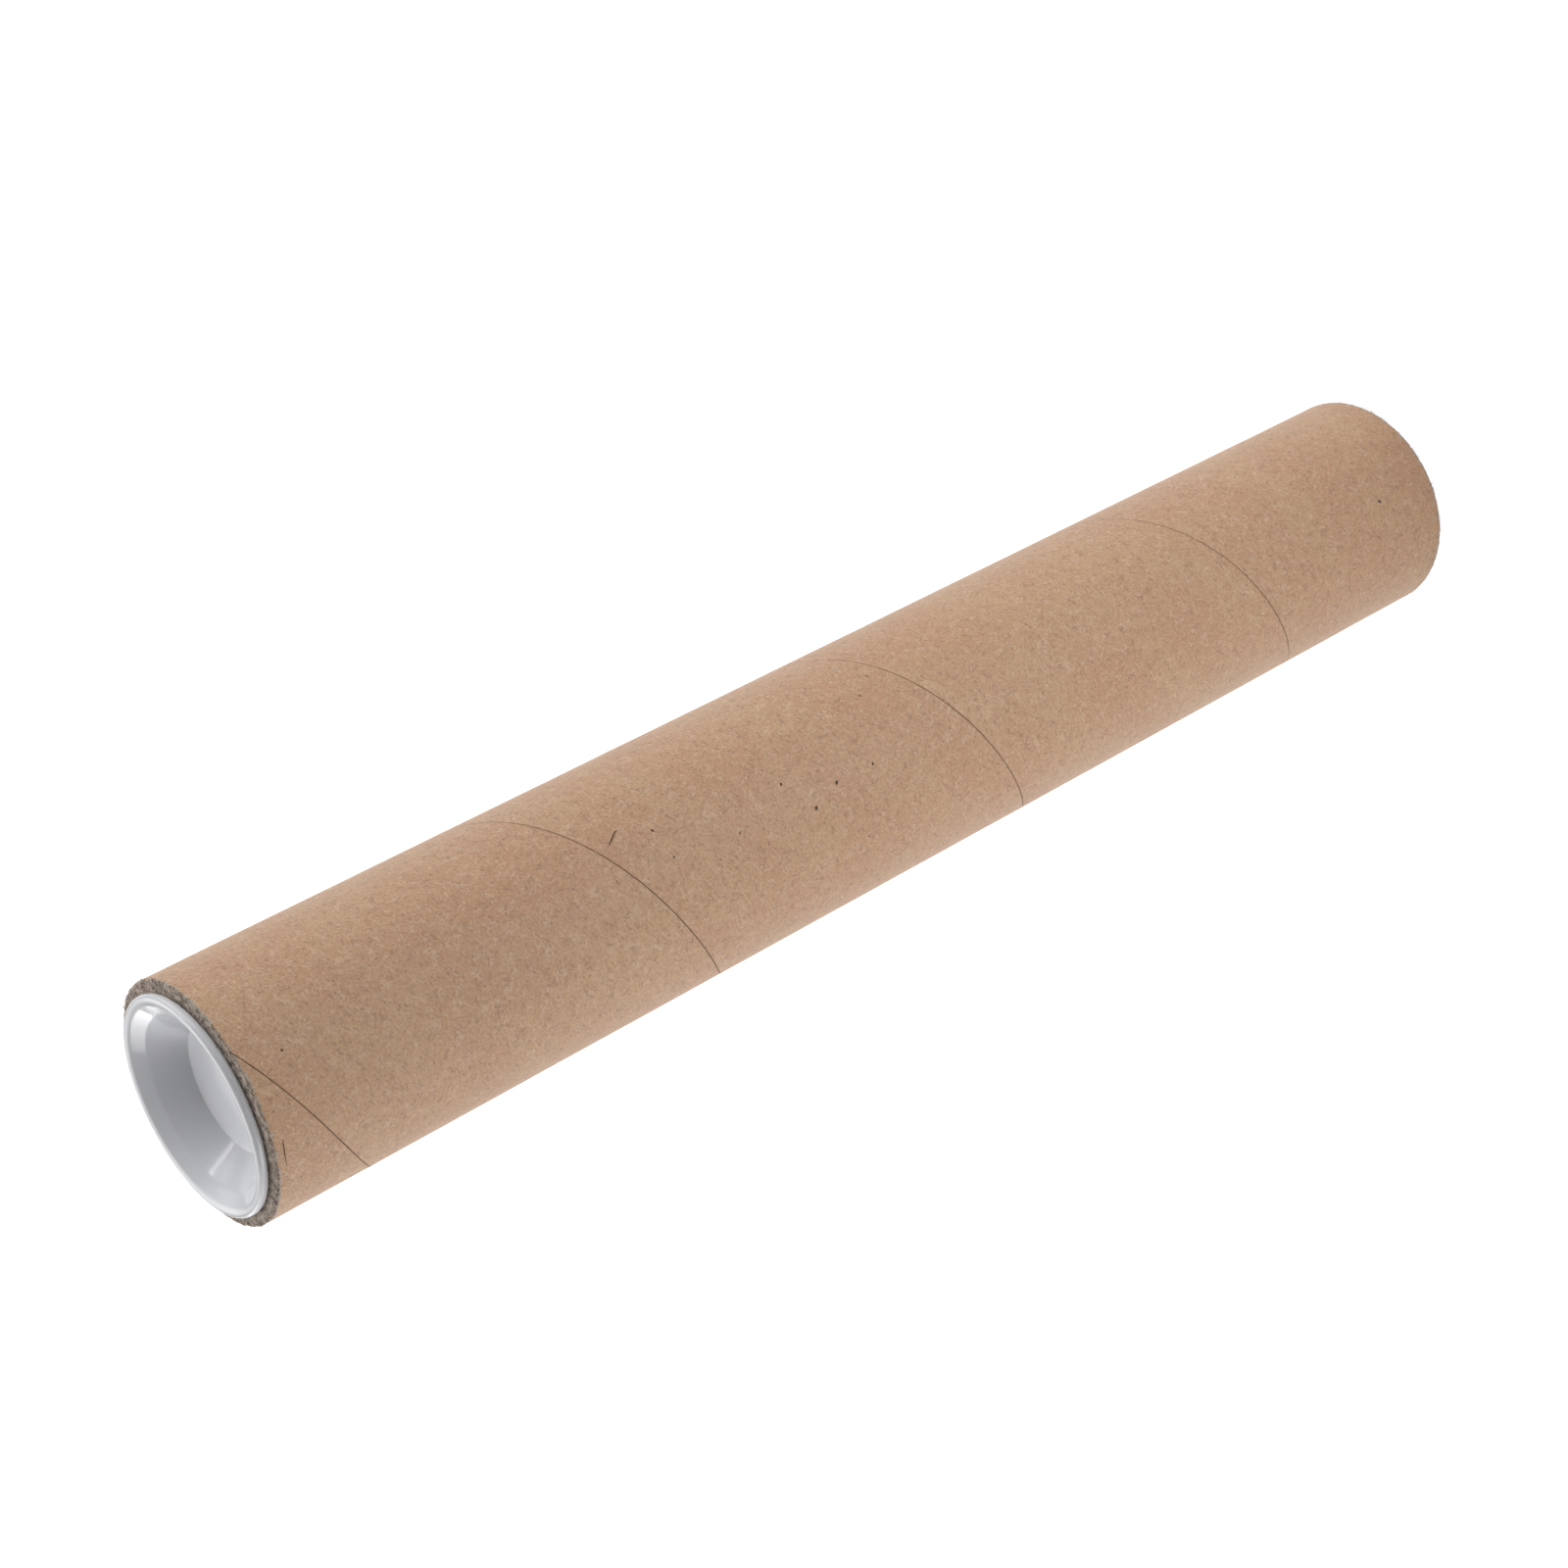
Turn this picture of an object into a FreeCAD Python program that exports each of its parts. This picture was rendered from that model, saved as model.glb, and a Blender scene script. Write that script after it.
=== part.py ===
import FreeCAD, Part
import os
import Sketcher

# A mailing tube stands on one end. Its body is paperboard wound in a spiral, with a butt seam
# that climbs round the outside and another round the bore. A moulded plug closes each end: its
# lip rests on the cut edge, its skirt grips the bore, and its face is a tapered recess.
# Z runs along the tube, and z = 0 is the crest of the lower plug's lip.

# Driving dimensions, in millimetres
SIZES = [
    ("tube_length", 330.0, "cut length of the paperboard tube"),
    ("outer_diameter", 50.8, "outside of the tube"),
    ("wall", 3.2, "thickness of all the plies together"),
    ("edge_bevel", 0.5, "softened outer corner of each cut end"),
    ("ply_width", 76.2, "width of the wound strips, edge to edge"),
    ("seam_gap", 0.35, "open butt joint between two turns of a strip"),
    ("seam_angle", -76.15, "where the outer seam meets the upper cut edge, in degrees from +X"),
    ("ply_thickness", 0.3, "thickness of the outer and the inner strip"),
    ("fit_clearance", 0.05, "radial clearance of the plug's skirt in the bore"),
    ("lip_overlap", 0.65, "how far the lip reaches over the cut edge"),
    ("lip_height", 1.8, "lip's crest above the cut edge"),
    ("lip_width", 2.65, "lip from its outer edge to the recess"),
    ("lip_bevel", 0.9, "bevels that make the lip a bead"),
    ("recess_depth", 8.5, "from the lip's crest to the recess floor"),
    ("floor_diameter", 27.0, "flat floor of the recess"),
    ("shell", 1.3, "moulded wall thickness of the plug"),
    ("skirt_depth", 14.0, "skirt below the cut edge"),
    ("lead_in", 0.6, "bevel at the skirt's foot"),
]

BORE_RADIUS = "(Sizes.outer_diameter / 2 - Sizes.wall)"
SKIRT_RADIUS = f"({BORE_RADIUS} - Sizes.fit_clearance)"
LIP_RADIUS = f"({BORE_RADIUS} + Sizes.lip_overlap)"
LIP_INNER_RADIUS = f"({LIP_RADIUS} - Sizes.lip_width)"
# A strip of this width closes on itself once it climbs by one pitch in each turn.
HELIX_ANGLE = "asin(Sizes.ply_width / (pi * Sizes.outer_diameter))"
PITCH = f"(Sizes.ply_width / cos({HELIX_ANGLE}))"
SEAM_HEIGHT = f"(Sizes.seam_gap / cos({HELIX_ANGLE}))"
# The seams run out past both cut ends, so that they are open there.
OVERRUN = "(3 * Sizes.seam_gap)"
# How far the outer seam turns from its start to the middle of its gap at the upper cut edge
SEAM_TURN = f"(360 * (Sizes.tube_length + {OVERRUN} - {SEAM_HEIGHT}) / {PITCH})"

# How closely an edge's radius and height have to match, in millimetres
NEAR = 1e-4

doc = FreeCAD.newDocument("MailingTube")


def make_sheet():
    sheet = doc.addObject("Spreadsheet::Sheet", "Sizes")
    for row, (alias, value, meaning) in enumerate(SIZES, start=1):
        sheet.set(f"A{row}", alias)
        sheet.set(f"B{row}", str(value))
        sheet.set(f"C{row}", meaning)
        sheet.setAlias(f"B{row}", alias)
    doc.recompute()


def value_of(owner, expression):
    """The number, in millimetres or degrees, that an expression has now."""
    found = owner.evalExpression(expression)
    return getattr(found, "Value", found)


def bind(owner, name, expression):
    owner.setExpression(name, expression)


def add_body(label):
    body = doc.addObject("PartDesign::Body", label)
    body.Label = label
    return body


def origin_feature(body, role):
    return next(part for part in body.Origin.OriginFeatures if part.Role == role)


def add_sketch(body, name, plane):
    sketch = body.newObject("Sketcher::SketchObject", name)
    sketch.AttachmentSupport = [(origin_feature(body, plane), "")]
    sketch.MapMode = "FlatFace"
    return sketch


def dimension(sketch, name, expression, kind, *where):
    """A named, driven dimension of a sketch."""
    value = value_of(sketch, expression)
    index = sketch.addConstraint(Sketcher.Constraint(kind, *where, value))
    sketch.renameConstraint(index, name)
    bind(sketch, f"Constraints.{name}", expression)


def tie(sketch, kind, *where):
    """A geometric constraint of a sketch."""
    sketch.addConstraint(Sketcher.Constraint(kind, *where))


def draw_outline(sketch, points):
    """A closed run of straight lines. Line i starts at point i."""
    count = len(points)
    corners = [FreeCAD.Vector(x, y, 0) for x, y in points]
    for i in range(count):
        sketch.addGeometry(Part.LineSegment(corners[i], corners[(i + 1) % count]), False)
    for i in range(count):
        tie(sketch, "Coincident", i, 2, (i + 1) % count, 1)


def bevel_edges(body, name, base, size, radii, heights):
    """A chamfer on the circular edges of base whose radius and height lie in these ranges."""
    chosen = []
    for number, edge in enumerate(base.Shape.Edges, start=1):
        curve = edge.Curve
        if not isinstance(curve, Part.Circle):
            continue
        fits_radius = radii[0] - NEAR < curve.Radius < radii[1] + NEAR
        fits_height = heights[0] - NEAR < curve.Center.z < heights[1] + NEAR
        if fits_radius and fits_height:
            chosen.append(f"Edge{number}")
    bevel = body.newObject("PartDesign::Chamfer", name)
    bevel.Base = (base, chosen)
    bind(bevel, "Size", size)
    doc.recompute()
    return bevel


def cut_seam(body, name, apex, mouth, start):
    """The butt joint of one strip: a V on a helix, from radius apex to past the paper's face."""
    sketch = add_sketch(body, f"{name}Section", "XZ_Plane")
    tip, outlet = value_of(sketch, apex), value_of(sketch, mouth)
    low = value_of(sketch, start)
    middle = low + value_of(sketch, SEAM_HEIGHT)
    high = middle + value_of(sketch, SEAM_HEIGHT)
    draw_outline(sketch, [(outlet, low), (outlet, high), (tip, middle)])
    outlet_line, tip_line = 0, 2
    tie(sketch, "Vertical", outlet_line)
    dimension(sketch, "mouth", mouth, "DistanceX", -1, 1, outlet_line, 1)
    dimension(sketch, "apex", apex, "DistanceX", -1, 1, tip_line, 1)
    dimension(sketch, "start", f"-({start})", "DistanceY", outlet_line, 1, -1, 1)
    dimension(sketch, "middle", SEAM_HEIGHT, "DistanceY", outlet_line, 1, tip_line, 1)
    dimension(sketch, "mouth_height", f"2 * {SEAM_HEIGHT}", "DistanceY", outlet_line, 1, outlet_line, 2)
    doc.recompute()
    seam = body.newObject("PartDesign::SubtractiveHelix", name)
    seam.Profile = (sketch, [""])
    seam.ReferenceAxis = (sketch, ["V_Axis"])
    seam.Mode = 0
    bind(seam, "Pitch", PITCH)
    bind(seam, "Height", f"Sizes.tube_length + {OVERRUN} - ({start})")
    doc.recompute()
    return seam


def make_tube():
    body = add_body("tube")
    ring = add_sketch(body, "Ring", "XY_Plane")
    outside = value_of(ring, "Sizes.outer_diameter / 2")
    bore = value_of(ring, BORE_RADIUS)
    for number, radius in enumerate((outside, bore)):
        ring.addGeometry(Part.Circle(FreeCAD.Vector(), FreeCAD.Vector(0, 0, 1), radius), False)
        tie(ring, "Coincident", number, 3, -1, 1)
    dimension(ring, "outside", "Sizes.outer_diameter / 2", "Radius", 0)
    dimension(ring, "bore", BORE_RADIUS, "Radius", 1)
    wound = body.newObject("PartDesign::Pad", "Wound")
    wound.Profile = ring
    bind(wound, "Length", "Sizes.tube_length")
    doc.recompute()
    length = value_of(body, "Sizes.tube_length")
    softened = bevel_edges(body, "CutEdges", wound, "Sizes.edge_bevel", (outside, outside), (0, length))
    solid = softened.Shape.Volume
    # Each V is as deep as one ply. Its mouth is one ply past the paper's face, where it is twice
    # as wide, so at the face it is as wide as the gap.
    outer_seam = cut_seam(
        body, "OuterSeam",
        "Sizes.outer_diameter / 2 - Sizes.ply_thickness",
        "Sizes.outer_diameter / 2 + Sizes.ply_thickness",
        f"-{OVERRUN}",
    )
    # The strips are staggered, so the seam in the bore is half a turn away from the outer one.
    inner_seam = cut_seam(
        body, "InnerSeam",
        f"{BORE_RADIUS} + Sizes.ply_thickness",
        f"{BORE_RADIUS} - Sizes.ply_thickness",
        f"-{OVERRUN} - {PITCH} / 2",
    )
    if not solid > outer_seam.Shape.Volume > inner_seam.Shape.Volume:
        raise RuntimeError("a seam cut nothing from the tube")
    bind(body, ".Placement.Base.z", "Sizes.lip_height")
    bind(body, ".Placement.Rotation.Angle", f"Sizes.seam_angle - {SEAM_TURN}")
    return body


def draw_plug_section(sketch):
    """Half of the plug's section: X is the radius, and Y = 0 is the cut edge that the lip rests on."""
    value = {alias: number for alias, number, _ in SIZES}
    lip = value_of(sketch, LIP_RADIUS)
    skirt = value_of(sketch, SKIRT_RADIUS)
    floor_radius = value["floor_diameter"] / 2
    floor = value["lip_height"] - value["recess_depth"]
    shell = value["shell"]
    points = [
        (0, floor),
        (floor_radius, floor),
        (lip - value["lip_width"], value["lip_height"]),
        (lip, value["lip_height"]),
        (lip, 0),
        (skirt, 0),
        (skirt, -value["skirt_depth"]),
        (skirt - shell, -value["skirt_depth"]),
        (skirt - shell, value["lip_height"] - shell),
        (floor_radius + shell / 2, floor - shell),
        (0, floor - shell),
    ]
    draw_outline(sketch, points)
    recess_floor, taper, crest, lip_edge, underside, skirt_outside = range(6)
    skirt_foot, skirt_inside, taper_back, floor_back, axis = range(6, 11)
    for line in (recess_floor, crest, underside, skirt_foot, floor_back):
        tie(sketch, "Horizontal", line)
    for line in (lip_edge, skirt_outside, skirt_inside):
        tie(sketch, "Vertical", line)
    tie(sketch, "PointOnObject", recess_floor, 1, -2)
    tie(sketch, "PointOnObject", axis, 1, -2)
    tie(sketch, "PointOnObject", underside, 1, -1)
    tie(sketch, "Parallel", taper_back, taper)
    dimension(sketch, "floor_radius", "Sizes.floor_diameter / 2", "DistanceX", -1, 1, taper, 1)
    dimension(sketch, "lip_radius", LIP_RADIUS, "DistanceX", -1, 1, lip_edge, 1)
    dimension(sketch, "lip_inner_radius", LIP_INNER_RADIUS, "DistanceX", -1, 1, crest, 1)
    dimension(sketch, "skirt_radius", SKIRT_RADIUS, "DistanceX", -1, 1, skirt_outside, 1)
    dimension(sketch, "foot_width", "Sizes.shell", "DistanceX", skirt_foot, 2, skirt_foot, 1)
    dimension(sketch, "lip_height", "Sizes.lip_height", "DistanceY", -1, 1, crest, 1)
    dimension(sketch, "recess_depth", "Sizes.recess_depth", "DistanceY", taper, 1, taper, 2)
    dimension(sketch, "floor_thickness", "Sizes.shell", "DistanceY", axis, 1, recess_floor, 1)
    dimension(sketch, "skirt_depth", "Sizes.skirt_depth", "DistanceY", skirt_outside, 2, -1, 1)
    dimension(sketch, "taper_thickness", "Sizes.shell", "Distance", taper_back, 2, taper)


def make_plug(label, facing):
    """A plug whose recess faces up (+1) or down (-1). Its own origin is on the cut edge."""
    body = add_body(label)
    section = add_sketch(body, "Section", "XZ_Plane")
    draw_plug_section(section)
    moulding = body.newObject("PartDesign::Revolution", "Moulding")
    moulding.Profile = section
    moulding.ReferenceAxis = (section, ["V_Axis"])
    moulding.Angle = 360
    doc.recompute()
    lip = value_of(body, LIP_RADIUS)
    lip_inner = value_of(body, LIP_INNER_RADIUS)
    skirt = value_of(body, SKIRT_RADIUS)
    crest = value_of(body, "Sizes.lip_height")
    foot = -value_of(body, "Sizes.skirt_depth")
    bead = bevel_edges(body, "LipBead", moulding, "Sizes.lip_bevel", (lip_inner, lip), (crest, crest))
    bevel_edges(body, "LeadIn", bead, "Sizes.lead_in", (skirt, skirt), (foot, foot))
    if facing > 0:
        bind(body, ".Placement.Base.z", "Sizes.lip_height + Sizes.tube_length")
    else:
        body.Placement = FreeCAD.Placement(FreeCAD.Vector(), FreeCAD.Rotation(FreeCAD.Vector(1, 0, 0), 180))
        bind(body, ".Placement.Base.z", "Sizes.lip_height")
    return body


def check(bodies):
    """Stops the build if a feature failed or a body isn't one valid solid."""
    for item in doc.Objects:
        if "Invalid" in item.State or "Error" in item.State:
            raise RuntimeError(f"{item.Label} failed: {item.State}")
    for body in bodies:
        shape = body.Shape
        if shape.isNull() or not shape.isValid() or len(shape.Solids) != 1:
            raise RuntimeError(f"{body.Label} isn't one valid solid")


make_sheet()
bodies = [make_tube(), make_plug("top_cap", 1), make_plug("bottom_cap", -1)]
doc.recompute()
check(bodies)
os.makedirs("parts", exist_ok=True)
for body in bodies:
    body.Shape.exportStep(f"parts/{body.Label}.step")
    box = body.Shape.optimalBoundingBox(False)
    print(f"{body.Label}: volume {body.Shape.Volume:.1f} mm3, z {box.ZMin:.3f} to {box.ZMax:.3f}")
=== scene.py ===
import math
import random

import bpy
import numpy as np
from mathutils import Matrix, Quaternion, Vector, noise


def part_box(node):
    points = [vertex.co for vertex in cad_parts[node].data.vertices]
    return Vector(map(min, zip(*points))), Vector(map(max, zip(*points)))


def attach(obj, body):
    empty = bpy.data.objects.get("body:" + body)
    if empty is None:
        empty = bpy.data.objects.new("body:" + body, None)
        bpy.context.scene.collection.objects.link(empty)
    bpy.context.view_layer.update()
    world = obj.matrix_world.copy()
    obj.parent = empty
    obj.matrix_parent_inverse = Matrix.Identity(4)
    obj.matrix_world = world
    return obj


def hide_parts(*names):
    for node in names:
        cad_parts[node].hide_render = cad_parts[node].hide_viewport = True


# A kraft mailing tube with a white plug in each end, standing on its lower plug.
# Lengths are in metres and angles in degrees, unless a name says otherwise.

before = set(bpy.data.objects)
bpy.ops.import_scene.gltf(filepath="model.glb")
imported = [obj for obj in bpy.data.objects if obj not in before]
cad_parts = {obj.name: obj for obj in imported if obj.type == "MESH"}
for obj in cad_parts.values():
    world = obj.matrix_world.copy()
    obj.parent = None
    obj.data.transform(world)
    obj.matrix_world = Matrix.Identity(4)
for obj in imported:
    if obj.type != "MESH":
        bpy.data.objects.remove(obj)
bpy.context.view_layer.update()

MM = 0.001

UP, DOWN = 1, -1

# The tube, from the frame
TUBE_LOW, TUBE_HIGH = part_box("tube")
RADIUS = (TUBE_HIGH.x - TUBE_LOW.x) / 2
TOP = TUBE_HIGH.z
FOOT = TUBE_LOW.z
WALL = 3.2 * MM
PLY = 0.46 * MM
BORE = RADIUS - WALL
CORNER = 0.6 * MM

# The spiral winding
STRIP_WIDTH = 76.2 * MM
HELIX_SINE = STRIP_WIDTH / (2 * math.pi * RADIUS)
HELIX_COSINE = math.sqrt(1 - HELIX_SINE ** 2)
PITCH = STRIP_WIDTH / HELIX_COSINE
SEAM_AT_TOP = -76.15
SEAM_HALF_GAP = 0.11 * MM
SEAM_DEPTH = 0.28 * MM
PLY_EDGE_RISE = 0.03 * MM
PLY_EDGE_REACH = 0.7 * MM

# The paper's face: how far it lies inside the CAD radius, its hollows, and its edge at a cut end
PAPER_SINK = 0.03 * MM
BROAD_WAVE = 0.030 * MM
NARROW_WAVE = 0.012 * MM
BURR = 0.05 * MM
BURR_REACH = 1.5 * MM
RAGGED_CORNER = 0.10 * MM

# The sawn face, in mm below the cut plane
SAWN_MEAN = 0.17
SAWN_FIBRE = 0.13
SAWN_CLUMP = 0.10
SAWN_LAYER = 0.04
SAWN_DEEPEST = 0.45
LAYER_WANDER = 2.5

# How fine those patterns are, in cells to the metre, and shifts that keep them apart
BROAD_CELLS = 70
NARROW_CELLS = 260
BURR_CELLS = 500
RAGGED_CELLS = 900
FIBRE_CELLS = 1500
CLUMP_CELLS = 420
LAYER_CELLS = 300
NARROW_SHIFT = Vector((7, 3, 1))
CLUMP_SHIFT = Vector((4, 9, 2))
RAGGED_SHIFT = Vector((2, 5, 8))

# The tube's mesh: columns round it, FINE times as many on the cut faces, and rows along it
COLUMNS = 108
FINE = 4
OUTER_ROWS = 344
BORE_ROWS = 160
CUT_STEPS = 12
CORNER_STEPS = 4
# How far from a seam its own columns stand, and how far the even ones keep off, as a share of the last
SEAM_COLUMNS = (0.045 * MM, 0.085 * MM, 0.12 * MM, 0.25 * MM, 0.6 * MM, 1.1 * MM)
SEAM_CLEAR = 1.4

# The camera, fitted to the photograph, in tube radii from the middle of the upper cut edge
CAMERA_BACK = 22.152
CAMERA_UP = 8.556
CAMERA_TURN = 0.307
CAMERA_TILT = 32.92
CAMERA_ROLL = -117.29
CAMERA_LENS_MM = 73.37
SENSOR_MM = 36


def smooth(t):
    """0 to 1 with level ends."""
    t = min(max(t, 0.0), 1.0)
    return t * t * (3 - 2 * t)


def seam_angle(z):
    """Where the outer seam is at this height, unwrapped."""
    return SEAM_AT_TOP + 360 * (z - TOP) / PITCH


def on_tube(angle, z, radius):
    turn = math.radians(angle)
    return Vector((radius * math.cos(turn), radius * math.sin(turn), z))


def link_mesh(name, points, faces, material):
    mesh = bpy.data.meshes.new(name)
    mesh.from_pydata([tuple(p) for p in points], [], faces)
    mesh.materials.append(material)
    mesh.polygons.foreach_set("use_smooth", [True] * len(faces))
    mesh.update()
    piece = bpy.data.objects.new(name, mesh)
    bpy.context.scene.collection.objects.link(piece)
    return piece


def add_attribute(piece, name, values):
    layer = piece.data.attributes.new(name, "FLOAT", "POINT")
    layer.data.foreach_set("value", values)


# Materials

# The mix node's sockets share their names, so they go by number
MIX_COLOURS = (6, 7)
MIX_COLOUR_RESULT = 2
MIX_VECTORS = (4, 5)
MIX_VECTOR_RESULT = 1

# Colours, linear
KRAFT_WARM = (0.535, 0.312, 0.185)
KRAFT_PALE = (0.556, 0.350, 0.206)
KRAFT_MOTTLE = (0.500, 0.296, 0.178)
GRAIN_DARK = (0.360, 0.205, 0.120)
GRAIN_PALE = (0.700, 0.495, 0.335)
FIBRE_DARK = (0.255, 0.140, 0.080)
FIBRE_PALE = (0.680, 0.500, 0.350)
DOT_DARK = (0.130, 0.070, 0.040)
DOT_PALE = (0.72, 0.58, 0.45)
# The cut edge's darkest tone: its own darker layers, and painted shade in its pits
BOARD_DARK_AND_PIT_SHADE = (0.115, 0.083, 0.064)
BOARD_PALE = (0.600, 0.490, 0.405)
BOARD_FIBRE = (0.62, 0.53, 0.44)
SEAM_SHADE = (0.105, 0.058, 0.034)
# Dark end of the loose fibres' tone, which on the crack stands for painted shade
LOOSE_DARK_AND_CRACK_SHADE = (0.085, 0.048, 0.030)
LOOSE_PALE = (0.66, 0.55, 0.44)
PLASTIC_LOW = (0.715, 0.722, 0.755)
PLASTIC_HIGH = (0.735, 0.740, 0.768)
FLOOR_LOW = (0.60, 0.60, 0.60)
FLOOR_HIGH = (0.62, 0.62, 0.62)

# How fine each pattern is, in cells to the metre, with one number for each axis where they differ
CLOUDS = (34, 60, 1)
MOTTLE = 260.0
GRAIN = (1500, 1900, 1)
DARK_FIBRES = 820.0
PALE_FIBRES = 700.0
DARK_DOTS = (800, 1100, 1)
PALE_DOTS = (900, 1500, 1)
BOARD_COARSE = 700.0
BOARD_FINE = 2600.0
BOARD_FIBRES = 3800.0
TORN_EDGE = 700.0
LOOSE_TONE = 3000.0
PLASTIC_CLOUDS = 90.0
PLASTIC_PEEL = 420.0
PLASTIC_SCUFFS = (3000, 3000, 500)
FLOOR_CLOUDS = 3.0


class Graph:
    """A short way to write a node tree: node() returns what it makes, and the rest return an output."""

    def __init__(self, tree):
        self.tree = tree
        tree.nodes.clear()

    def node(self, kind, inputs=None, **settings):
        made = self.tree.nodes.new(kind)
        for key, value in settings.items():
            setattr(made, key, value)
        for key, value in (inputs or {}).items():
            if isinstance(value, bpy.types.NodeSocket):
                self.tree.links.new(value, made.inputs[key])
            else:
                made.inputs[key].default_value = value
        return made

    def noise(self, vector, scale, detail=2.0, roughness=0.5):
        inputs = {"Vector": vector, "Scale": scale, "Detail": detail, "Roughness": roughness}
        return self.node("ShaderNodeTexNoise", inputs).outputs["Fac"]

    def stretch(self, vector, turn, scale):
        """The coordinates turned about their normal and then scaled."""
        inputs = {"Vector": vector, "Rotation": (0, 0, math.radians(turn))}
        turned = self.node("ShaderNodeMapping", inputs, vector_type="POINT").outputs["Vector"]
        inputs = {"Vector": turned, "Scale": scale}
        return self.node("ShaderNodeMapping", inputs, vector_type="POINT").outputs["Vector"]

    def math(self, operation, a, b=0.0):
        return self.node("ShaderNodeMath", {0: a, 1: b}, operation=operation).outputs["Value"]

    def ramp(self, value, low, high, to_low=0.0, to_high=1.0):
        inputs = {"Value": value, "From Min": low, "From Max": high, "To Min": to_low, "To Max": to_high}
        return self.node("ShaderNodeMapRange", inputs, interpolation_type="SMOOTHSTEP").outputs["Result"]

    def blend(self, factor, a, b):
        """From colour a to colour b."""
        made = self.node("ShaderNodeMix", {"Factor": factor}, data_type="RGBA")
        for index, value in zip(MIX_COLOURS, (a, b)):
            if isinstance(value, bpy.types.NodeSocket):
                self.tree.links.new(value, made.inputs[index])
            else:
                made.inputs[index].default_value = (*value, 1.0)
        return made.outputs[MIX_COLOUR_RESULT]

    def blend_vectors(self, factor, a, b):
        made = self.node("ShaderNodeMix", {"Factor": factor}, data_type="VECTOR")
        for index, value in zip(MIX_VECTORS, (a, b)):
            self.tree.links.new(value, made.inputs[index])
        return made.outputs[MIX_VECTOR_RESULT]

    def specks(self, vector, scale, share, size):
        """1 inside small dots that fill a share of the cells of a random pattern."""
        cells = self.node("ShaderNodeTexVoronoi", {"Vector": vector, "Scale": scale})
        chosen = self.math("LESS_THAN", self.channel(cells.outputs["Color"]), share)
        inside = self.ramp(cells.outputs["Distance"], size, size * 0.5)
        return self.math("MULTIPLY", chosen, inside)

    def channel(self, colour):
        return self.node("ShaderNodeSeparateColor", {"Color": colour}).outputs["Red"]

    def bump(self, height, distance, strength):
        inputs = {"Height": height, "Distance": distance, "Strength": strength}
        return self.node("ShaderNodeBump", inputs).outputs["Normal"]


def new_material(name):
    material = bpy.data.materials.new(name)
    material.use_nodes = True
    return material, Graph(material.node_tree)


def finish_material(graph, inputs):
    shader = graph.node("ShaderNodeBsdfPrincipled", inputs)
    output = graph.node("ShaderNodeOutputMaterial")
    graph.tree.links.new(shader.outputs["BSDF"], output.inputs["Surface"])


def pressed_fibres(graph, vector, scale, width, share):
    """Thin curved lines, broken into short lengths: 1 on a fibre."""
    line = graph.math("ABSOLUTE", graph.math("SUBTRACT", graph.noise(vector, scale, 1.5), 0.5))
    whole = graph.ramp(line, width, width * 0.35)
    broken = graph.ramp(graph.noise(vector, scale * 0.63, 0.0), share, share + 0.06)
    return graph.math("MULTIPLY", whole, broken)


def kraft_colour(graph, strip):
    """Brown paper: cloudy tone, matted fibres, and a few bark specks and pale fibres."""
    clouds = graph.noise(graph.stretch(strip, 0, CLOUDS), 1.0, 3.0)
    mottle = graph.noise(strip, MOTTLE, 3.0, 0.6)
    grain = graph.noise(graph.stretch(strip, 0, GRAIN), 1.0, 3.0, 0.6)
    colour = graph.blend(graph.ramp(clouds, 0.36, 0.64), KRAFT_WARM, KRAFT_PALE)
    colour = graph.blend(graph.ramp(mottle, 0.38, 0.62, 0.0, 0.5), colour, KRAFT_MOTTLE)
    colour = graph.blend(graph.ramp(grain, 0.50, 0.66, 0.0, 0.46), colour, GRAIN_DARK)
    colour = graph.blend(graph.ramp(grain, 0.50, 0.35, 0.0, 0.36), colour, GRAIN_PALE)
    thin = graph.stretch(strip, 0, (0.8, 1, 1))
    turned = graph.stretch(strip, 70, (1, 0.8, 1))
    dark_fibres = pressed_fibres(graph, thin, DARK_FIBRES, 0.034, 0.47)
    pale_fibres = pressed_fibres(graph, turned, PALE_FIBRES, 0.032, 0.47)
    colour = graph.blend(graph.math("MULTIPLY", dark_fibres, 0.46), colour, FIBRE_DARK)
    colour = graph.blend(graph.math("MULTIPLY", pale_fibres, 0.50), colour, FIBRE_PALE)
    dark = graph.specks(graph.stretch(strip, 12, DARK_DOTS), 1.0, 0.016, 0.30)
    pale = graph.specks(graph.stretch(strip, -20, PALE_DOTS), 1.0, 0.022, 0.26)
    colour = graph.blend(graph.math("MULTIPLY", dark, 0.62), colour, DOT_DARK)
    colour = graph.blend(graph.math("MULTIPLY", pale, 0.55), colour, DOT_PALE)
    height = graph.math("ADD", grain, graph.math("MULTIPLY", pale_fibres, 0.3))
    return colour, height


def board_colour(graph, place):
    """The cut edge: crushed grey-brown layers with pale fibres, and dark pits whose darkness is painted
    shade.
    """
    coarse = graph.noise(place, BOARD_COARSE, 4.0, 0.65)
    fine = graph.noise(place, BOARD_FINE, 3.0, 0.7)
    mixed = graph.math("ADD", graph.math("MULTIPLY", coarse, 0.6), graph.math("MULTIPLY", fine, 0.4))
    # The dark end of this ramp falls where the bump below is low: the board's own darker layers, and painted
    # shade in its pits.
    colour = graph.blend(graph.ramp(mixed, 0.36, 0.62), BOARD_DARK_AND_PIT_SHADE, BOARD_PALE)
    pale = graph.ramp(graph.noise(place, BOARD_FIBRES, 2.0, 0.6), 0.62, 0.72, 0.0, 0.6)
    return graph.blend(pale, colour, BOARD_FIBRE), mixed


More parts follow.
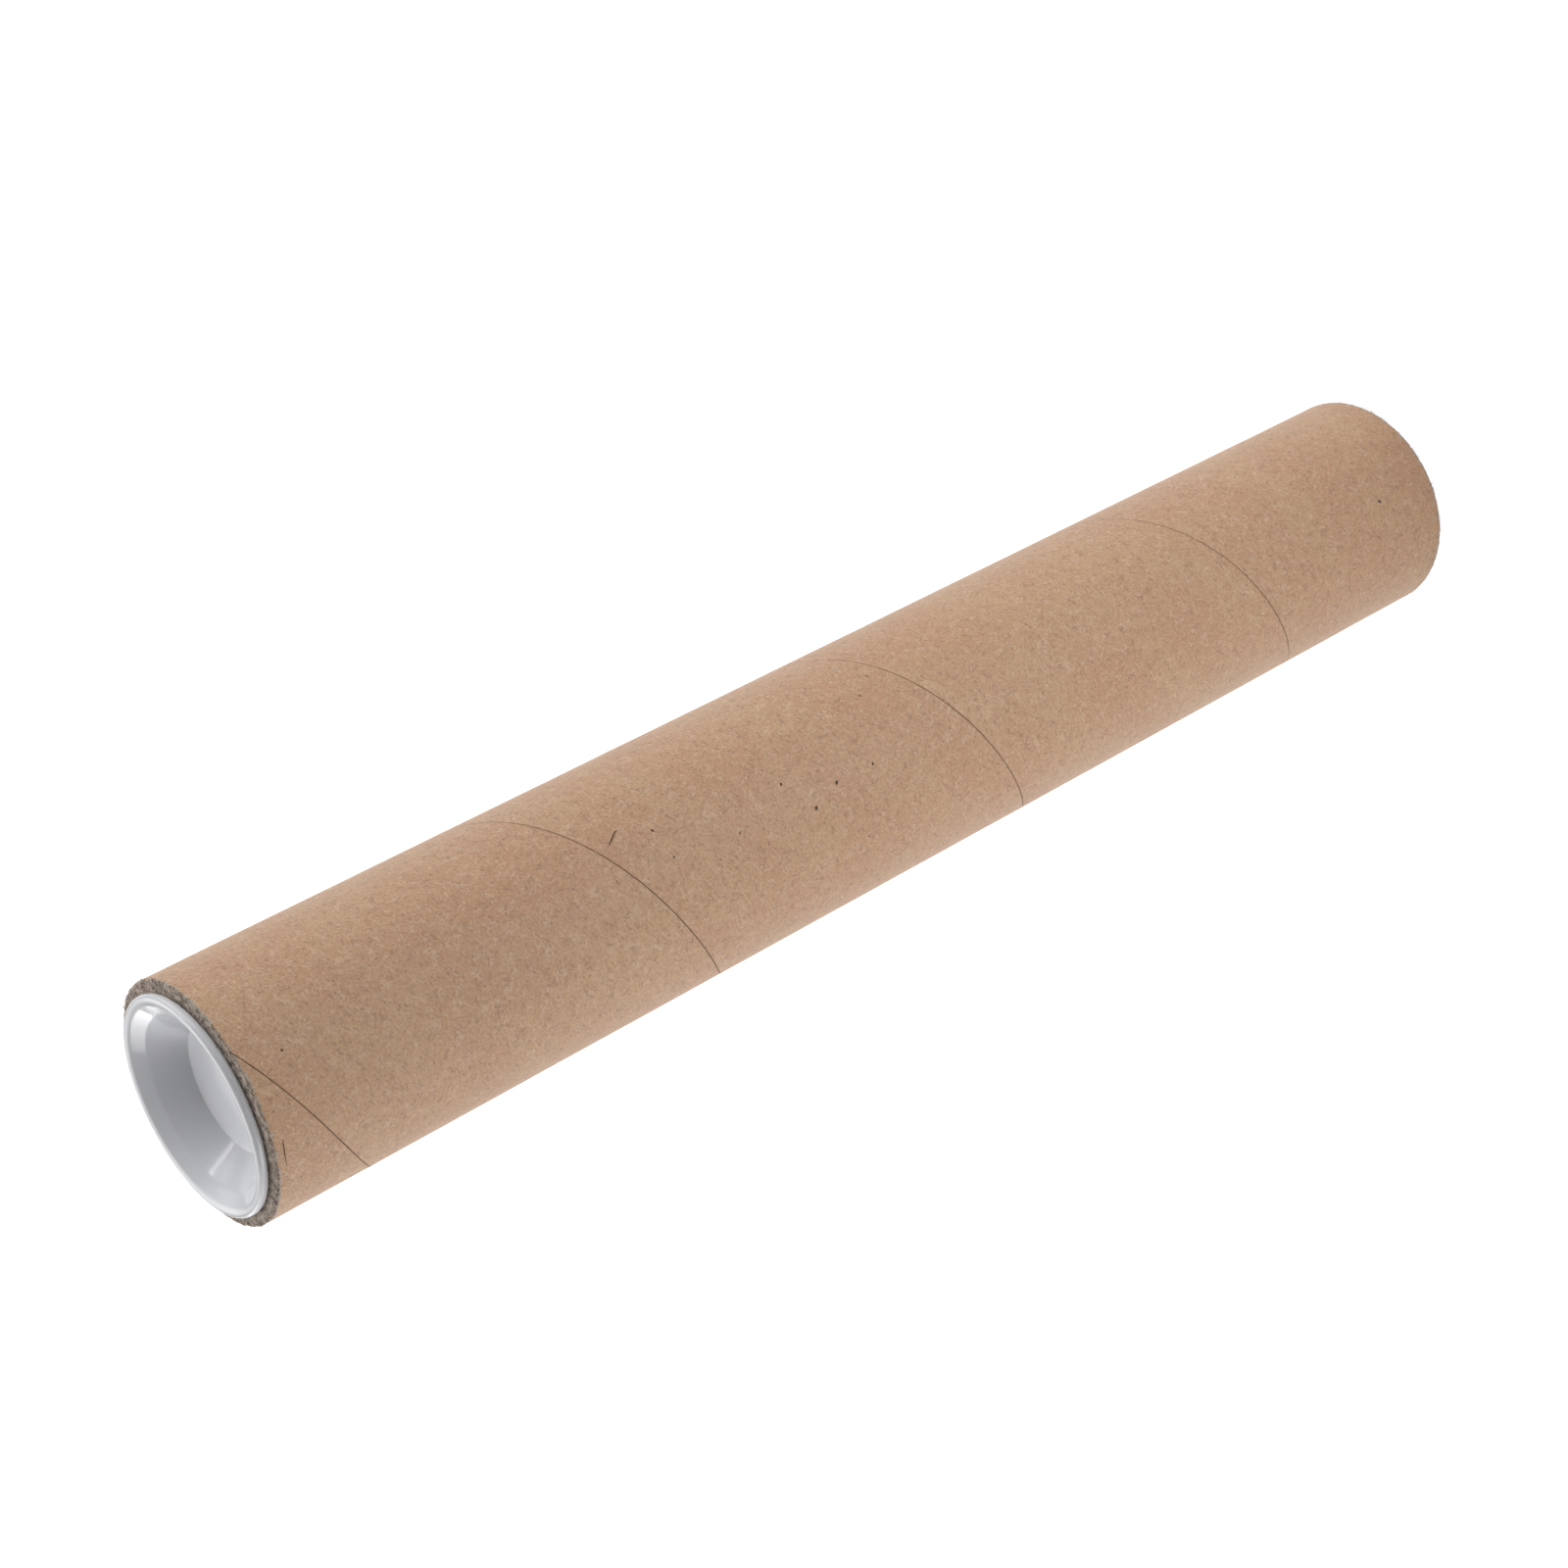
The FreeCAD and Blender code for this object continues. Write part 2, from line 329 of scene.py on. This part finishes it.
def make_kraft_board():
    material, graph = new_material("kraft_board")
    strip = graph.node("ShaderNodeUVMap", uv_map="unrolled").outputs["UV"]
    place = graph.node("ShaderNodeTexCoord").outputs["Object"]
    cut = graph.node("ShaderNodeAttribute", attribute_name="cut").outputs["Fac"]
    groove = graph.node("ShaderNodeAttribute", attribute_name="groove").outputs["Fac"]
    paper, paper_height = kraft_colour(graph, strip)
    board, board_height = board_colour(graph, place)
    torn = graph.ramp(graph.noise(place, TORN_EDGE, 4.0, 0.6), 0.3, 0.7, -0.4, 0.4)
    edge = graph.math("ADD", cut, torn)
    share = graph.ramp(edge, -0.30, -0.02)
    colour = graph.blend(share, paper, board)
    colour = graph.blend(graph.math("MULTIPLY", groove, 0.8), colour, SEAM_SHADE)
    paper_relief = graph.bump(paper_height, 0.05 * MM, 0.35)
    board_relief = graph.bump(board_height, 0.4 * MM, 0.8)
    finish_material(graph, {
        "Base Color": colour,
        "Roughness": graph.ramp(share, 0.0, 1.0, 0.60, 0.95),
        "Specular IOR Level": 0.5,
        "Sheen Weight": 0.15,
        "Sheen Roughness": 0.45,
        "Normal": graph.blend_vectors(share, paper_relief, board_relief),
    })
    return material


def make_loose_fibre():
    """Fibres, specks and the crack's line of painted shade take their tone from a number that each one
    carries.
    """
    material, graph = new_material("loose_fibre")
    tone = graph.node("ShaderNodeAttribute", attribute_name="tone").outputs["Fac"]
    place = graph.node("ShaderNodeTexCoord").outputs["Object"]
    uneven = graph.math("ADD", tone, graph.ramp(graph.noise(place, LOOSE_TONE), 0.3, 0.7, -0.12, 0.12))
    colour = graph.blend(uneven, LOOSE_DARK_AND_CRACK_SHADE, LOOSE_PALE)
    finish_material(graph, {"Base Color": colour, "Roughness": 0.8, "Specular IOR Level": 0.3})
    return material


def make_white_plastic():
    material, graph = new_material("white_plastic")
    place = graph.node("ShaderNodeTexCoord").outputs["Object"]
    cloudy = graph.noise(place, PLASTIC_CLOUDS, 2.0)
    peel = graph.noise(place, PLASTIC_PEEL, 2.0)
    scuffs = graph.noise(graph.stretch(place, 0, PLASTIC_SCUFFS), 1.0, 2.0)
    colour = graph.blend(cloudy, PLASTIC_LOW, PLASTIC_HIGH)
    finish_material(graph, {
        "Base Color": colour,
        "Roughness": graph.ramp(scuffs, 0.3, 0.7, 0.08, 0.14),
        "Specular IOR Level": 0.5,
        "Normal": graph.bump(peel, 0.05 * MM, 0.25),
    })
    return material


# The wound tube

def column_offsets():
    """Angles round the tube from the outer seam, closer together beside both seams."""
    near = [math.degrees(side / (RADIUS * HELIX_SINE)) for side in SEAM_COLUMNS]
    beside = sorted([-angle for angle in near] + [0.0] + near)
    reach = near[-1]
    even = [360 * i / COLUMNS for i in range(COLUMNS)]
    kept = [a for a in even if min(a, 360 - a, abs(a - 180)) > reach * SEAM_CLEAR]
    seams = [angle % 360 for angle in beside] + [180 + angle for angle in beside]
    return sorted(kept + seams)


def split_offsets(offsets):
    """FINE columns for each one."""
    ends = offsets[1:] + [offsets[0] + 360]
    return [a + (b - a) * k / FINE for a, b in zip(offsets, ends) for k in range(FINE)]


def beside_seam(offset):
    """Distance from the seam, square to it."""
    away = min(offset % 360, 360 - offset % 360)
    return math.radians(away) * RADIUS * HELIX_SINE


def seam_shape(distance):
    """(height of the paper, 0 to 1 for how far down the gap) beside a butt seam."""
    if distance < SEAM_HALF_GAP:
        down = 1 - smooth((distance - SEAM_HALF_GAP * 0.5) / (SEAM_HALF_GAP * 0.5))
        return PLY_EDGE_RISE - down * SEAM_DEPTH, down
    rise = PLY_EDGE_RISE * (1 - smooth((distance - SEAM_HALF_GAP) / PLY_EDGE_REACH))
    return rise, 0.0


def waviness(place):
    """Hollows that the winding and the glue leave in the paper."""
    broad = noise.noise(place * BROAD_CELLS)
    narrow = noise.noise(place * NARROW_CELLS + NARROW_SHIFT)
    return BROAD_WAVE * broad + NARROW_WAVE * narrow


# The lifted paper beside the crack: (angle, height) of its two ends, then its size
CREASE_FROM = (-126.5, TOP - 1.8 * MM)
CREASE_TO = (-133.8, TOP - 2.3 * MM)
CREASE_LIFT = 0.14 * MM
CREASE_HALF_LENGTH = 2.4 * MM
CREASE_HALF_WIDTH = 2.6 * MM
CREASE_DROP = 1.0 * MM


def crease_bulge(angle, z):
    """The outer ply lifts beside a short crack near the upper edge."""
    middle_angle = (CREASE_FROM[0] + CREASE_TO[0]) / 2
    middle_z = (CREASE_FROM[1] + CREASE_TO[1]) / 2
    across = (angle - middle_angle + 180) % 360 - 180
    along = math.radians(across) * RADIUS / CREASE_HALF_LENGTH
    down = (z - middle_z + CREASE_DROP) / CREASE_HALF_WIDTH
    return CREASE_LIFT * math.exp(-along ** 2 - down ** 2)


def cut_roughness(place, radius):
    """How far the sawn face lies below the cut plane."""
    fibre = noise.fractal(place * FIBRE_CELLS, 1.0, 2.0, 3)
    clump = noise.noise(place * CLUMP_CELLS + CLUMP_SHIFT)
    wander = LAYER_WANDER * noise.noise(place * LAYER_CELLS)
    layers = math.cos(2 * math.pi * (RADIUS - radius) / PLY + wander)
    depth = SAWN_MEAN + SAWN_FIBRE * fibre + SAWN_CLUMP * clump + SAWN_LAYER * layers
    return min(max(depth, 0.0), SAWN_DEEPEST) * MM


def from_edge(z, high, low):
    """Distance to the nearer end in mm, for the paper's ragged edge, and no more than 2."""
    return min((high - z) / MM, (z - low) / MM, 2.0)


def tube_stations():
    """(kind, radius, height, cut, fine) down the outside, across the foot, up the bore and back."""
    stations = []
    side_top, side_foot = TOP - CORNER, FOOT + CORNER
    for i in range(OUTER_ROWS + 1):
        z = side_top + (side_foot - side_top) * i / OUTER_ROWS
        stations.append(("outer", RADIUS, z, -from_edge(z, side_top, side_foot), False))

    def end(z, facing):
        rows = []
        for k in range(1, CORNER_STEPS + 1):
            turn = math.radians(90 * k / CORNER_STEPS)
            radius = RADIUS - CORNER * (1 - math.cos(turn))
            height = z - facing * CORNER * (1 - math.sin(turn))
            rows.append(("corner", radius, height, k / CORNER_STEPS, True))
        for k in range(1, CUT_STEPS + 1):
            radius = RADIUS - CORNER - (WALL - CORNER) * k / CUT_STEPS
            rows.append(("cut", radius, z, 1.0, True))
        return rows

    stations += end(FOOT, DOWN)
    for i in range(1, BORE_ROWS):
        z = FOOT + (TOP - FOOT) * i / BORE_ROWS
        stations.append(("bore", BORE, z, -from_edge(z, TOP, FOOT), False))
    stations += end(TOP, UP)[::-1]
    return stations


def tube_point(kind, radius, z, cut, offset):
    """(point, groove) of the tube's surface."""
    angle = seam_angle(z) + offset
    place = on_tube(angle, z, radius)
    groove = 0.0
    if kind == "bore":
        shape, groove = seam_shape(beside_seam(offset + 180))
        radius += -shape - waviness(place)
        return on_tube(angle, z, radius), groove
    shape, groove = seam_shape(beside_seam(offset))
    middle = (TOP + FOOT) / 2
    facing = UP if z > middle else DOWN
    from_end = (TOP - z) if facing == UP else (z - FOOT)
    if kind == "outer":
        burr = BURR * noise.noise(place * BURR_CELLS) * math.exp(-from_end / BURR_REACH)
        radius += shape + waviness(place) - PAPER_SINK + burr + crease_bulge(angle, z)
        return on_tube(angle, z, radius), groove
    drop = cut_roughness(place, radius) * cut
    rough = noise.noise(place * RAGGED_CELLS + RAGGED_SHIFT)
    ragged = RAGGED_CORNER * rough * math.sin(math.pi * cut)
    if kind == "corner":
        radius += ragged + (shape - PAPER_SINK + crease_bulge(angle, z)) * (1 - cut)
    return on_tube(angle, z - facing * drop, radius), groove * (1 - cut)


def bridge(a, b):
    """Faces between two closed rings, one of which may have FINE times as many points."""
    if len(a) == len(b):
        n = len(a)
        return [(a[i], a[(i + 1) % n], b[(i + 1) % n], b[i]) for i in range(n)]
    faces = []
    few, many = (a, b) if len(a) < len(b) else (b, a)
    n, half = len(few), FINE // 2
    for i in range(n):
        left, right = few[i], few[(i + 1) % n]
        run = [many[(i * FINE + k) % len(many)] for k in range(FINE + 1)]
        fan = [(left, run[k + 1], run[k]) for k in range(half)]
        fan += [(right, run[k + 1], run[k]) for k in range(half, FINE)]
        fan.append((left, right, run[half]))
        faces += fan if few is a else [face[::-1] for face in fan]
    return faces


def build_tube(material):
    coarse = column_offsets()
    fine = split_offsets(coarse)
    points, faces, cuts, grooves, offsets = [], [], [], [], []
    rings = []
    for kind, radius, z, cut, is_fine in tube_stations():
        columns = fine if is_fine else coarse
        first = len(points)
        for offset in columns:
            point, groove = tube_point(kind, radius, z, cut, offset)
            points.append(point)
            cuts.append(cut)
            grooves.append(groove)
            offsets.append(offset)
        rings.append(list(range(first, len(points))))
    for a, b in zip(rings, rings[1:] + rings[:1]):
        faces += [face[::-1] for face in bridge(a, b)]
    piece = link_mesh("wound_tube", points, faces, material)
    add_attribute(piece, "cut", cuts)
    add_attribute(piece, "groove", grooves)
    unroll(piece, offsets)
    return piece


def unroll(piece, offsets):
    """Coordinates along and across the strip that each face was cut from, in metres."""
    mesh = piece.data
    corners = np.empty(len(mesh.loops), dtype=np.int32)
    mesh.loops.foreach_get("vertex_index", corners)
    sizes = np.empty(len(mesh.polygons), dtype=np.int32)
    mesh.polygons.foreach_get("loop_total", sizes)
    starts = np.empty(len(mesh.polygons), dtype=np.int32)
    mesh.polygons.foreach_get("loop_start", starts)
    offset = np.array(offsets)[corners]
    widest = np.repeat(np.maximum.reduceat(offset, starts), sizes)
    offset = np.where(offset < widest - 180, offset + 360, offset)
    height = np.array([vertex.co.z for vertex in mesh.vertices])[corners]
    turned = np.radians(SEAM_AT_TOP + 360 * (height - TOP) / PITCH + offset)
    along = turned * RADIUS * HELIX_COSINE + height * HELIX_SINE
    across = height * HELIX_COSINE - turned * RADIUS * HELIX_SINE
    layer = mesh.uv_layers.new(name="unrolled")
    layer.data.foreach_set("uv", np.column_stack((along, across)).astype(np.float32).ravel())


# Loose fibres and specks

# A strand's ends are this share of its own radius
STRAND_END = 0.35


class Strands:
    """Many thin closed tubes in one mesh, each with a tone of its own."""

    def __init__(self, sides=3):
        self.sides = sides
        self.points = []
        self.faces = []
        self.tones = []

    def add(self, path, radius, tone):
        first = len(self.points)
        last = len(path) - 1
        sides = self.sides
        for i, place in enumerate(path):
            ahead = path[min(i + 1, last)] - path[max(i - 1, 0)]
            side = ahead.orthogonal().normalized()
            up = ahead.cross(side).normalized()
            taper = radius * (STRAND_END if i in (0, last) else 1.0)
            for k in range(sides):
                turn = 2 * math.pi * k / sides
                self.points.append(place + taper * (math.cos(turn) * side + math.sin(turn) * up))
                self.tones.append(tone)
        for i in range(last):
            for k in range(sides):
                a, b = first + sides * i + k, first + sides * i + (k + 1) % sides
                self.faces.append((a, b, b + sides, a + sides))
        end = first + sides * last
        self.faces.append(tuple(first + k for k in reversed(range(sides))))
        self.faces.append(tuple(end + k for k in range(sides)))

    def build(self, name, material):
        piece = link_mesh(name, self.points, self.faces, material)
        add_attribute(piece, "tone", self.tones)
        return piece


# Torn fibres at a cut end. Most of them, by the share, stand anywhere on the sawn face out to the
# deepest share of the wall, and the rest stand by the outer corner.
FUZZ_COUNT = 900
FUZZ_ON_FACE = 0.7
FUZZ_DEEPEST = 0.82
FUZZ_EDGE = 0.4 * MM
FUZZ_ROOT = 0.2 * MM
FUZZ_LEAN = 0.5
FUZZ_LIFT = (0.1, 0.7)
FUZZ_CURL = 0.6
FUZZ_DROOP = 0.22
FUZZ_REACH = 0.08 * MM
FUZZ_JOINTS = 4
FUZZ_STEP = (0.10, 0.34)
FUZZ_RADIUS = (0.030, 0.060)
FUZZ_TONES = (0.0, 0.1, 0.5, 0.9, 1.1)
UPPER_SEED = 7
LOWER_SEED = 8


def held_in(place, limit):
    """The point, moved towards the axis if it stands further out than this."""
    share = min(1.0, limit / math.hypot(place.x, place.y))
    return Vector((place.x * share, place.y * share, place.z))


def build_fuzz(name, z, facing, seed, material):
    """Torn fibres that stand out of a cut end."""
    draw = random.Random(seed)
    strands = Strands()
    for _ in range(FUZZ_COUNT):
        angle = draw.uniform(0, 360)
        on_face = draw.random() < FUZZ_ON_FACE
        inward = draw.uniform(0, WALL * FUZZ_DEEPEST if on_face else FUZZ_EDGE)
        depth = FUZZ_ROOT + max(0.0, CORNER * 0.5 - inward)
        place = on_tube(angle, z - facing * depth, RADIUS - inward)
        outward = Vector((place.x, place.y, 0)).normalized()
        around = Vector((-outward.y, outward.x, 0))
        along = around * draw.choice((-1, 1)) + outward * draw.uniform(-FUZZ_LEAN, FUZZ_LEAN)
        along.z = facing * draw.uniform(*FUZZ_LIFT)
        step = draw.uniform(*FUZZ_STEP) * MM
        path = [place]
        for _ in range(FUZZ_JOINTS):
            along.normalize()
            path.append(held_in(path[-1] + along * step, RADIUS + FUZZ_REACH))
            along += Vector((draw.uniform(-FUZZ_CURL, FUZZ_CURL) for _ in range(3)))
            along.z -= facing * FUZZ_DROOP
        tone = draw.choice(FUZZ_TONES)
        strands.add(path, draw.uniform(*FUZZ_RADIUS) * MM, tone)
    return strands.build(name, material)


# Marks that the photograph shows: (angle, distance below the upper cut edge in mm) along each,
# with the radius in mm after them, or third in the row for a speck
HOOK = [(-67.5, 92.5), (-67.5, 92), (-69, 91), (-70.5, 90), (-72, 89)]
HOOK_RADIUS = 0.13
# The crack is drawn as a raised dark line: painted shade in the split.
CRACK_SHADE = [(-119.5, 2.6), (-122, 2.5), (-126, 2.3), (-132, 2.3)]
CRACK_SHADE_RADIUS = 0.10
SPECKS = [
    (-86, 9, 0.24), (-75, 99, 0.22), (-90, 100, 0.20), (-94, 116, 0.18), (-83, 130, 0.26),
    (-100, 135, 0.32), (-94, 142, 0.32), (-125, 146, 0.18), (-94, 152, 0.26), (-62, 159, 0.18),
    (-54, 164, 0.18), (-95, 312, 0.30),
]
MARK_SIDES = 8
# Tone of the hooked fibre, and of the crack's line of painted shade
HOOK_AND_CRACK_SHADE_TONE = 0.0
SPECK_TONE = 0.03
SPECK_SINK = 0.4
SPECK_SLANT = 0.9
SPECK_REACH = (1.1, 1.6)
SPECK_STEPS = (-1.0, -0.3, 0.4, 1.0)
MARK_SEED = 41


def build_marks(material):
    """Bark specks and one dark hooked fibre, part of the paper's face, and a raised dark line of painted
    shade along the crack.
    """
    draw = random.Random(MARK_SEED)
    strands = Strands(MARK_SIDES)
    for route, radius in ((HOOK, HOOK_RADIUS), (CRACK_SHADE, CRACK_SHADE_RADIUS)):
        path = []
        for angle, below in route:
            z = TOP - below * MM
            path.append(on_tube(angle, z, RADIUS + crease_bulge(angle, z)))
        strands.add(path, radius * MM, HOOK_AND_CRACK_SHADE_TONE)
    for angle, below, radius in SPECKS:
        slant = draw.uniform(-SPECK_SLANT, SPECK_SLANT)
        reach = radius * draw.uniform(*SPECK_REACH)
        path = []
        for share in SPECK_STEPS:
            across = math.degrees(share * reach * MM / RADIUS)
            z = TOP - (below + share * reach * slant) * MM
            path.append(on_tube(angle + across, z, RADIUS - SPECK_SINK * radius * MM))
        strands.add(path, radius * MM, SPECK_TONE)
    return strands.build("bark_specks_and_crack_shade", material)


# The plugs

# The plug, in mm: radii, and heights above the cut edge. The bowl's two bends have both.
RECESS_RADIUS = 13.28
RECESS_FLOOR = -6.7
LOWER_BEND = (15.5, -4.16)
UPPER_BEND = (18.3, -0.61)
CREST_INSIDE = 21.1
LIP_OUTSIDE = 22.85
LIP_TOP = 1.8
LIP_FOOT = 0.02
SKIRT_OUTSIDE = 22.13
SKIRT_INSIDE = 20.85
SKIRT_END = -14.0
SHELL_TOP = 0.5
SHELL_RADIUS = 14.15
SHELL_FLOOR = -8.0

# Its section: (radius, height, rounding of that corner)
PLUG_SECTION = [
    (RECESS_RADIUS, RECESS_FLOOR, 0.3),
    (*LOWER_BEND, 12.0),
    (*UPPER_BEND, 5.0),
    (CREST_INSIDE, LIP_TOP, 2.0),
    (LIP_OUTSIDE, LIP_TOP, 0.95),
    (LIP_OUTSIDE, LIP_FOOT, 0.4),
    (SKIRT_OUTSIDE, LIP_FOOT, 0.08),
    (SKIRT_OUTSIDE, SKIRT_END, 0.6),
    (SKIRT_INSIDE, SKIRT_END, 0.3),
    (SKIRT_INSIDE, SHELL_TOP, 0.5),
    (SHELL_RADIUS, SHELL_FLOOR, 0.9),
]
PLUG_SEGMENTS = 256
ROUND_STEPS = 7
# A straight stretch longer than this, in mm, gets a point this far from each end
LONG_STRETCH = 1.0
SUPPORT = 0.12


def rounded(corners, start, end):
    """The outline through these corners, each rounded, from start to end."""
    places = [Vector(start)] + [Vector((r, h)) for r, h, _ in corners] + [Vector(end)]
    outline = [places[0]]
    for i, (_, _, radius) in enumerate(corners, start=1):
        here = places[i]
        back = (places[i - 1] - here).normalized()
        on = (places[i + 1] - here).normalized()
        half = back.angle(on) / 2
        reach = radius / math.tan(half)
        centre = here + (back + on).normalized() * radius / math.sin(half)
        first, last = here + back * reach - centre, here + on * reach - centre
        sweep = first.angle_signed(last)
        for k in range(ROUND_STEPS + 1):
            turn = Matrix.Rotation(-sweep * k / ROUND_STEPS, 2)
            outline.append(centre + turn @ first)
    outline.append(places[-1])
    return outline


def with_support(outline):
    """Long straight stretches get a point near each end, so that shading stays flat between."""
    result = [outline[0]]
    for a, b in zip(outline, outline[1:]):
        length = (b - a).length
        if length > LONG_STRETCH:
            edge = SUPPORT / length
            result += [a.lerp(b, edge), a.lerp(b, 0.5), a.lerp(b, 1 - edge)]
        result.append(b)
    return result


def build_plug(name, z, facing, material):
    """The section turned round the axis, with one point in the middle of each floor."""
    outline = with_support(rounded(PLUG_SECTION, (0, RECESS_FLOOR), (0, SHELL_FLOOR)))[1:-1]
    points, faces = [], []
    for place in outline:
        for k in range(PLUG_SEGMENTS):
            turn = 2 * math.pi * k / PLUG_SEGMENTS
            radius = place.x * MM
            point = Vector((radius * math.cos(turn), facing * radius * math.sin(turn), facing * place.y * MM))
            points.append(point + Vector((0, 0, z)))
    rings = [list(range(i * PLUG_SEGMENTS, (i + 1) * PLUG_SEGMENTS)) for i in range(len(outline))]
    for a, b in zip(rings, rings[1:]):
        faces += bridge(b, a)
    for ring, height in ((rings[0], RECESS_FLOOR), (rings[-1], SHELL_FLOOR)):
        centre = len(points)
        points.append(Vector((0, 0, z + facing * height * MM)))
        pairs = list(zip(ring, ring[1:] + ring[:1]))
        faces += [(a, b, centre) if ring is rings[0] else (b, a, centre) for a, b in pairs]
    return link_mesh(name, points, faces, material)


# The studio

# The bright parts of the surround: (azimuth from +X, elevation, strength)
SOFT_PANELS = [
    (0, 8, 2.9),
    (135, 4, 1.2),
    (180, 2, 1.9),
    (225, 2, 0.35),
    (315, 8, 1.15),
    (75, 48, 2.95),
]
PANEL_EDGE = math.cos(math.radians(38))
PANEL_CORE = math.cos(math.radians(8))
AMBIENT = 0.03

# Lamps face a point on the axis this far below the upper cut edge
LAMP_AIM_DROP = 0.05


def direction_to(azimuth, elevation):
    turn, rise = math.radians(azimuth), math.radians(elevation)
    return Vector((math.cos(turn) * math.cos(rise), math.sin(turn) * math.cos(rise), math.sin(rise)))


def build_world():
    """A dim tent with a few broad soft panels. The camera sees it as plain white."""
    world = bpy.data.worlds.new("studio")
    bpy.context.scene.world = world
    world.use_nodes = True
    graph = Graph(world.node_tree)
    direction = graph.node("ShaderNodeTexCoord").outputs["Generated"]
    level = AMBIENT
    for azimuth, elevation, strength in SOFT_PANELS:
        inputs = {0: direction, 1: direction_to(azimuth, elevation)}
        near = graph.node("ShaderNodeVectorMath", inputs, operation="DOT_PRODUCT").outputs["Value"]
        level = graph.math("ADD", graph.ramp(near, PANEL_EDGE, PANEL_CORE, 0.0, strength), level)
    seen = graph.node("ShaderNodeLightPath").outputs["Is Camera Ray"]
    strength = graph.ramp(seen, 0.0, 1.0, level, 1.0)
    shader = graph.node("ShaderNodeBackground", {"Color": (1, 1, 1, 1), "Strength": strength})
    output = graph.node("ShaderNodeOutputWorld")
    graph.tree.links.new(shader.outputs["Background"], output.inputs["Surface"])


def add_softbox(name, direction, distance, width, height, watts, spin=0):
    """A rectangular soft light that faces the upper half of the tube, spun about its own axis."""
    aim = Vector((0, 0, TOP - LAMP_AIM_DROP))
    lamp = bpy.data.lights.new(name, "AREA")
    lamp.shape = "RECTANGLE"
    lamp.size = width
    lamp.size_y = height
    lamp.energy = watts
    holder = bpy.data.objects.new(name, lamp)
    bpy.context.scene.collection.objects.link(holder)
    towards = Vector(direction).normalized()
    holder.location = aim + towards * distance
    holder.rotation_mode = "QUATERNION"
    own_turn = Quaternion((0, 0, 1), math.radians(spin))
    holder.rotation_quaternion = towards.to_track_quat("Z", "Y") @ own_turn
    holder.visible_camera = False


def build_lamps():
    """Two lamps that the bowl reflects, and two low ones for the side of the tube that faces the camera."""
    add_softbox("strip_box", direction_to(132, 28), distance=1.3, width=1.3, height=0.18, watts=2.4, spin=46)
    add_softbox("round_box", direction_to(8, 39), distance=1.3, width=0.16, height=0.12, watts=0.25)
    add_softbox("low_box", (0.0, -0.28, -0.22), distance=0.356, width=0.12, height=0.08, watts=0.20)
    add_softbox("side_box", direction_to(200, -10), distance=0.6, width=0.25, height=0.2, watts=0.6)


FLOOR_HALF = 12.0
FLOOR_GLOW = 0.85


def build_floor():
    material, graph = new_material("studio_floor")
    place = graph.node("ShaderNodeTexCoord").outputs["Object"]
    colour = graph.blend(graph.noise(place, FLOOR_CLOUDS), FLOOR_LOW, FLOOR_HIGH)
    rays = graph.node("ShaderNodeLightPath").outputs
    seen = graph.math("MAXIMUM", rays["Is Camera Ray"], rays["Is Glossy Ray"])
    seen = graph.math("MAXIMUM", seen, rays["Is Transmission Ray"])
    finish_material(graph, {
        "Base Color": colour,
        "Roughness": 0.9,
        "Emission Color": (1, 1, 1, 1),
        "Emission Strength": graph.math("MULTIPLY", seen, FLOOR_GLOW),
    })
    near, far = -FLOOR_HALF, FLOOR_HALF
    corners = [(near, near, 0), (far, near, 0), (far, far, 0), (near, far, 0)]
    floor = link_mesh("floor", corners, [(0, 1, 2, 3)], material)


def build_camera():
    camera = bpy.data.objects.new("camera", bpy.data.cameras.new("camera"))
    bpy.context.scene.collection.objects.link(camera)
    camera.data.lens = CAMERA_LENS_MM
    camera.data.sensor_width = SENSOR_MM
    camera.data.clip_start = 0.01
    camera.data.clip_end = 100
    place = Matrix.Translation((0, -CAMERA_BACK * RADIUS, TOP + CAMERA_UP * RADIUS))
    turn = Matrix.Rotation(math.radians(-CAMERA_TURN), 4, "Z")
    tilt = Matrix.Rotation(math.radians(90 - CAMERA_TILT), 4, "X")
    roll = Matrix.Rotation(math.radians(CAMERA_ROLL), 4, "Z")
    camera.matrix_world = place @ turn @ tilt @ roll
    bpy.context.scene.camera = camera


def place_piece(piece, body, node=None):
    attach(piece, body)
    if node:
        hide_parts(node)


def build_object():
    kraft = make_kraft_board()
    fibre = make_loose_fibre()
    plastic = make_white_plastic()
    place_piece(build_tube(kraft), "tube", "tube")
    place_piece(build_fuzz("upper_fuzz", TOP, UP, UPPER_SEED, fibre), "tube")
    place_piece(build_fuzz("lower_fuzz", FOOT, DOWN, LOWER_SEED, fibre), "tube")
    place_piece(build_marks(fibre), "tube")
    place_piece(build_plug("upper_plug", TOP, UP, plastic), "top_cap", "top_cap")
    place_piece(build_plug("lower_plug", FOOT, DOWN, plastic), "bottom_cap", "bottom_cap")


build_camera()
build_object()
build_floor()
build_world()
build_lamps()
bpy.context.scene.view_settings.view_transform = "Standard"
